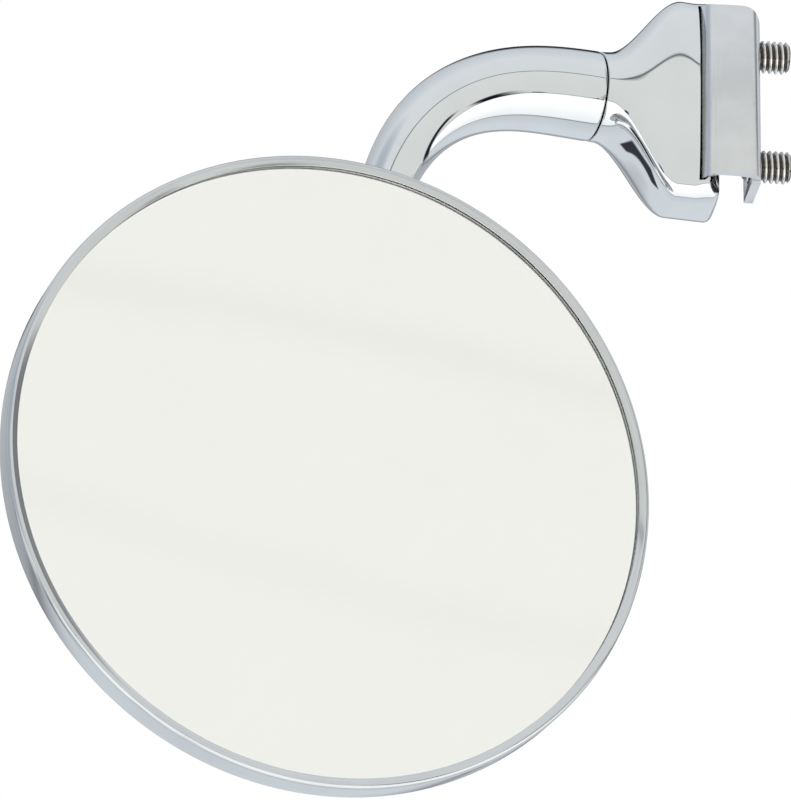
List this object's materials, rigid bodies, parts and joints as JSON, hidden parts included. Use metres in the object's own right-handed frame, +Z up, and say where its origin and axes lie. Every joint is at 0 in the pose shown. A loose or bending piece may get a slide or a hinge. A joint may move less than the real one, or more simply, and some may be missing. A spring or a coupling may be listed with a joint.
{
  "type": "clip-on door mirror",
  "caption": "Round mirror head on a curved swivelling arm, with a die-cast foot and bent steel clamp that grips the edge of a car door with two set screws.",
  "frame": {"origin": "centre of the foot's flat door seat, level with the middle of the clamp bracket", "axes": "+X from the door seat across the door slot to the set screws, +Z up along the clamp, -Y the side that the mirror faces"},
  "size_m": [0.1279, 0.0622, 0.1508],
  "materials": {
    "chrome": "polished chrome plating",
    "stainless": "polished stainless sheet",
    "satin_steel": "satin nickel-plated steel",
    "zinc_steel": "zinc-plated steel",
    "spring_steel": "oiled spring steel",
    "mirror": "silvered glass",
    "rubber": "matt",
    "foam": "closed-cell foam",
    "nylon": "natural nylon"
  },
  "bodies": {
    "clamp": {"clamp_foot": "chrome", "clamp_bracket": "satin_steel", "bracket_pin_upper": "zinc_steel", "bracket_pin_lower": "zinc_steel", "swivel_pin_upper": "zinc_steel", "swivel_pin_lower": "zinc_steel"},
    "tip_upper": {"screw_tip_upper": "nylon"},
    "screw_upper": {"set_screw_upper": "zinc_steel"},
    "tip_lower": {"screw_tip_lower": "nylon"},
    "screw_lower": {"set_screw_lower": "zinc_steel"},
    "arm": {"arm": "chrome", "swivel_bush": "nylon", "swivel_spring_washer": "spring_steel", "ball_stud": "zinc_steel", "stud_washer": "spring_steel"},
    "seat_ring": {"ball_seat_ring": "nylon"},
    "cup": {"pressure_cup": "nylon"},
    "head": {"back_shell": "stainless", "bezel_ring": "stainless", "mirror_glass": "mirror", "glass_gasket": "rubber", "backing_pad": "foam", "socket_housing": "stainless", "spring_cup": "stainless", "socket_spring": "spring_steel", "socket_rivet_1": "zinc_steel", "socket_rivet_2": "zinc_steel", "socket_rivet_3": "zinc_steel"}
  },
  "joints": [
    {"name": "arm_swivel", "type": "hinge", "parent": "clamp", "child": "arm", "pos_m": [0, 0.0016, 0], "axis": [0.9781, 0.2079, 0], "continuous": true},
    {"name": "head_pan", "type": "hinge", "parent": "arm", "child": "seat_ring", "pos_m": [-0.06879, -0.0259, -0.0826], "axis": [0, 0, 1], "range_deg": [-15, 15]},
    {"name": "head_tilt", "type": "hinge", "parent": "seat_ring", "child": "cup", "pos_m": [-0.06879, -0.0259, -0.0826], "axis": [0.9781, 0.2079, 0], "range_deg": [-15, 15]},
    {"name": "head_spin", "type": "hinge", "parent": "cup", "child": "head", "pos_m": [-0.06879, -0.0259, -0.0826], "axis": [-0.2079, 0.9781, 0], "continuous": true},
    {"name": "screw_upper_feed", "type": "slide", "parent": "clamp", "child": "tip_upper", "axis": [-1, 0, 0], "range_m": [-0.002, 0.0039]},
    {"name": "screw_upper_turn", "type": "hinge", "parent": "tip_upper", "child": "screw_upper", "pos_m": [0.0082, -0.0032, 0.0088], "axis": [-1, 0, 0], "range_deg": [-720, 1440]},
    {"name": "screw_lower_feed", "type": "slide", "parent": "clamp", "child": "tip_lower", "axis": [-1, 0, 0], "range_m": [-0.002, 0.0039]},
    {"name": "screw_lower_turn", "type": "hinge", "parent": "tip_lower", "child": "screw_lower", "pos_m": [0.0082, -0.0032, -0.0112], "axis": [-1, 0, 0], "range_deg": [-720, 1440]}
  ],
  "couplings": [
    {"joint": "screw_upper_turn", "follows": "screw_upper_feed", "rad_per_m": 6283.2},
    {"joint": "screw_lower_turn", "follows": "screw_lower_feed", "rad_per_m": 6283.2}
  ]
}
